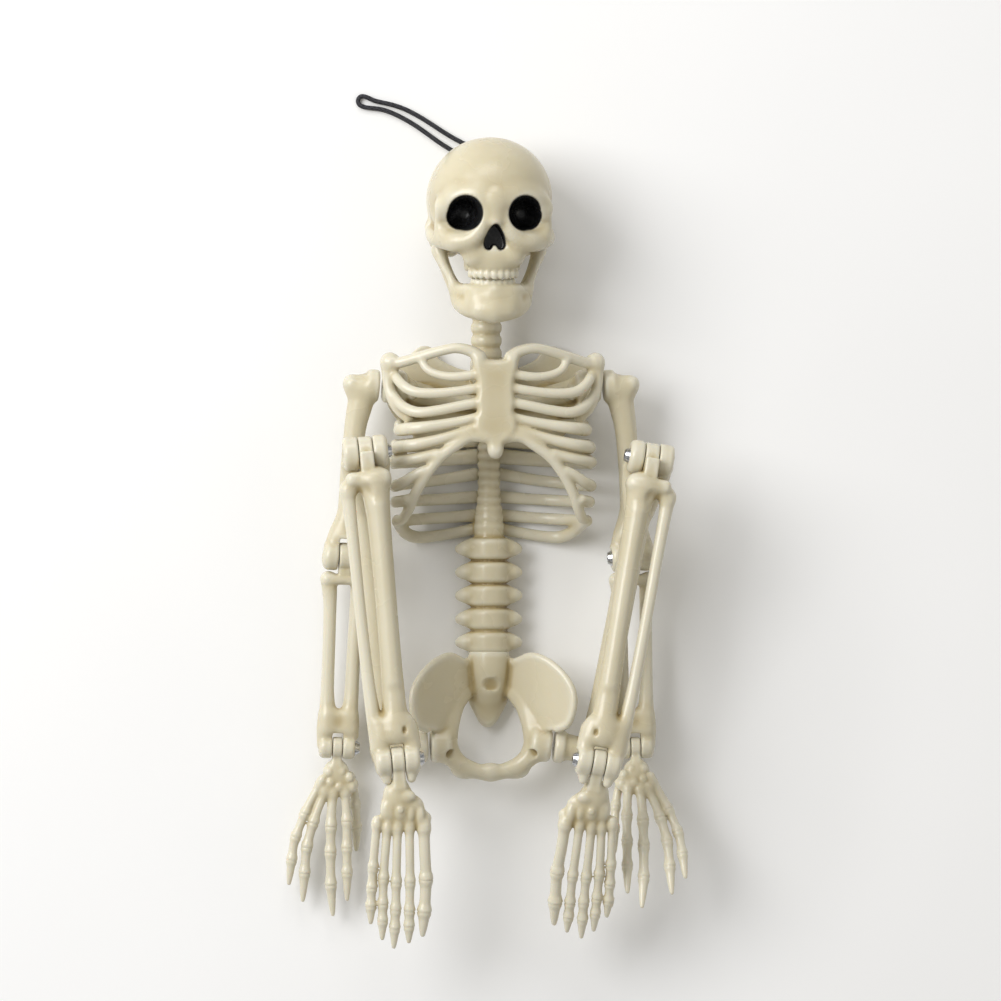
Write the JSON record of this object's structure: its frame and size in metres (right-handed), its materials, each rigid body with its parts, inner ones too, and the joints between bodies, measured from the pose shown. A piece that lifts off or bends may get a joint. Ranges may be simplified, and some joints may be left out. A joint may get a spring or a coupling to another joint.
{
  "type": "posable skeleton figure",
  "caption": "Posable plastic skeleton figure lying folded flat on its back, with hinged limbs, a snap jaw, a turning head and an elastic hanging loop",
  "frame": {"origin": "on the floor, below the middle of the figure's bounding box without the hanging loop", "axes": "+Z the front of the body, away from the floor; +Y towards the head; +X the figure's own left"},
  "size_m": [0.1339, 0.281, 0.0495],
  "materials": {
    "bone_plastic": "semi-gloss ivory moulded plastic, slightly translucent, with darker warm tone in the recesses and black paint in the eye sockets and nose",
    "zinc": "bright zinc-plated pan-head screw",
    "elastic": "black braided round elastic cord"
  },
  "bodies": {
    "torso": {"rear_torso": "bone_plastic", "front_rib_cage": "bone_plastic", "pelvis": "bone_plastic", "neck": "bone_plastic"},
    "head": {"skull_face": "bone_plastic", "skull_rear": "bone_plastic", "hanging_loop": "elastic", "loop_knot": "elastic"},
    "jaw": {"jaw": "bone_plastic"},
    "upper_arm_left": {"humerus_left": "bone_plastic", "elbow_screw_left": "zinc"},
    "lower_arm_left": {"forearm_left": "bone_plastic", "wrist_screw_left": "zinc"},
    "hand_left": {"hand_left": "bone_plastic"},
    "thigh_left": {"femur_left": "bone_plastic", "knee_screw_left": "zinc"},
    "lower_leg_left": {"shin_left": "bone_plastic", "ankle_screw_left": "zinc"},
    "foot_left": {"foot_left": "bone_plastic"},
    "upper_arm_right": {"humerus_right": "bone_plastic", "elbow_screw_right": "zinc"},
    "lower_arm_right": {"forearm_right": "bone_plastic", "wrist_screw_right": "zinc"},
    "hand_right": {"hand_right": "bone_plastic"},
    "thigh_right": {"femur_right": "bone_plastic", "knee_screw_right": "zinc"},
    "lower_leg_right": {"shin_right": "bone_plastic", "ankle_screw_right": "zinc"},
    "foot_right": {"foot_right": "bone_plastic"}
  },
  "joints": [
    {"name": "head_turn", "type": "hinge", "parent": "torso", "child": "head", "pos_m": [0.0002, 0.092, 0.0125], "axis": [0, 1, 0], "range_deg": [-80, 80]},
    {"name": "jaw_open", "type": "hinge", "parent": "head", "child": "jaw", "pos_m": [0.0002, 0.0964, 0.022], "axis": [1, 0, 0], "range_deg": [0, 14]},
    {"name": "shoulder_left", "type": "hinge", "parent": "torso", "child": "upper_arm_left", "pos_m": [0.038, 0.0515, 0.016], "axis": [0.9981, 0.061, 0], "range_deg": [0, 270]},
    {"name": "elbow_left", "type": "hinge", "parent": "upper_arm_left", "child": "lower_arm_left", "pos_m": [0.04846, -0.00489, 0.01302], "axis": [0.9981, 0.061, 0], "range_deg": [0, 105]},
    {"name": "wrist_left", "type": "hinge", "parent": "lower_arm_left", "child": "hand_left", "pos_m": [0.04978, -0.06779, 0.00972], "axis": [0.9998, 0.021, -0.0021], "range_deg": [0, 80]},
    {"name": "hip_left", "type": "hinge", "parent": "torso", "child": "thigh_left", "pos_m": [0.0219, -0.067, 0.014], "axis": [0.9945, -0.1045, 0], "range_deg": [0, 167]},
    {"name": "knee_left", "type": "hinge", "parent": "thigh_left", "child": "lower_leg_left", "pos_m": [0.05203, 0.02728, 0.03637], "axis": [-0.9864, 0.1635, 0.0137], "range_deg": [0, 164]},
    {"name": "ankle_left", "type": "hinge", "parent": "lower_leg_left", "child": "foot_left", "pos_m": [0.03417, -0.07189, 0.04372], "axis": [-0.9864, 0.1635, 0.0137], "range_deg": [0, 100]},
    {"name": "shoulder_right", "type": "hinge", "parent": "torso", "child": "upper_arm_right", "pos_m": [-0.035, 0.0515, 0.016], "axis": [0.9969, -0.0785, 0], "range_deg": [0, 270]},
    {"name": "elbow_right", "type": "hinge", "parent": "upper_arm_right", "child": "lower_arm_right", "pos_m": [-0.04644, -0.0047, 0.01302], "axis": [0.9969, -0.0785, 0], "range_deg": [0, 105]},
    {"name": "wrist_right", "type": "hinge", "parent": "lower_arm_right", "child": "hand_right", "pos_m": [-0.04886, -0.06757, 0.00972], "axis": [0.9993, -0.0384, 0.0021], "range_deg": [0, 80]},
    {"name": "hip_right", "type": "hinge", "parent": "torso", "child": "thigh_right", "pos_m": [-0.0189, -0.067, 0.014], "axis": [0.9997, 0.0262, 0], "range_deg": [0, 167]},
    {"name": "knee_right", "type": "hinge", "parent": "thigh_right", "child": "lower_leg_right", "pos_m": [-0.04154, 0.02935, 0.03637], "axis": [-0.9962, -0.0856, -0.0137], "range_deg": [0, 164]},
    {"name": "ankle_right", "type": "hinge", "parent": "lower_leg_right", "child": "foot_right", "pos_m": [-0.03152, -0.07092, 0.04372], "axis": [-0.9962, -0.0856, -0.0137], "range_deg": [0, 100]}
  ]
}
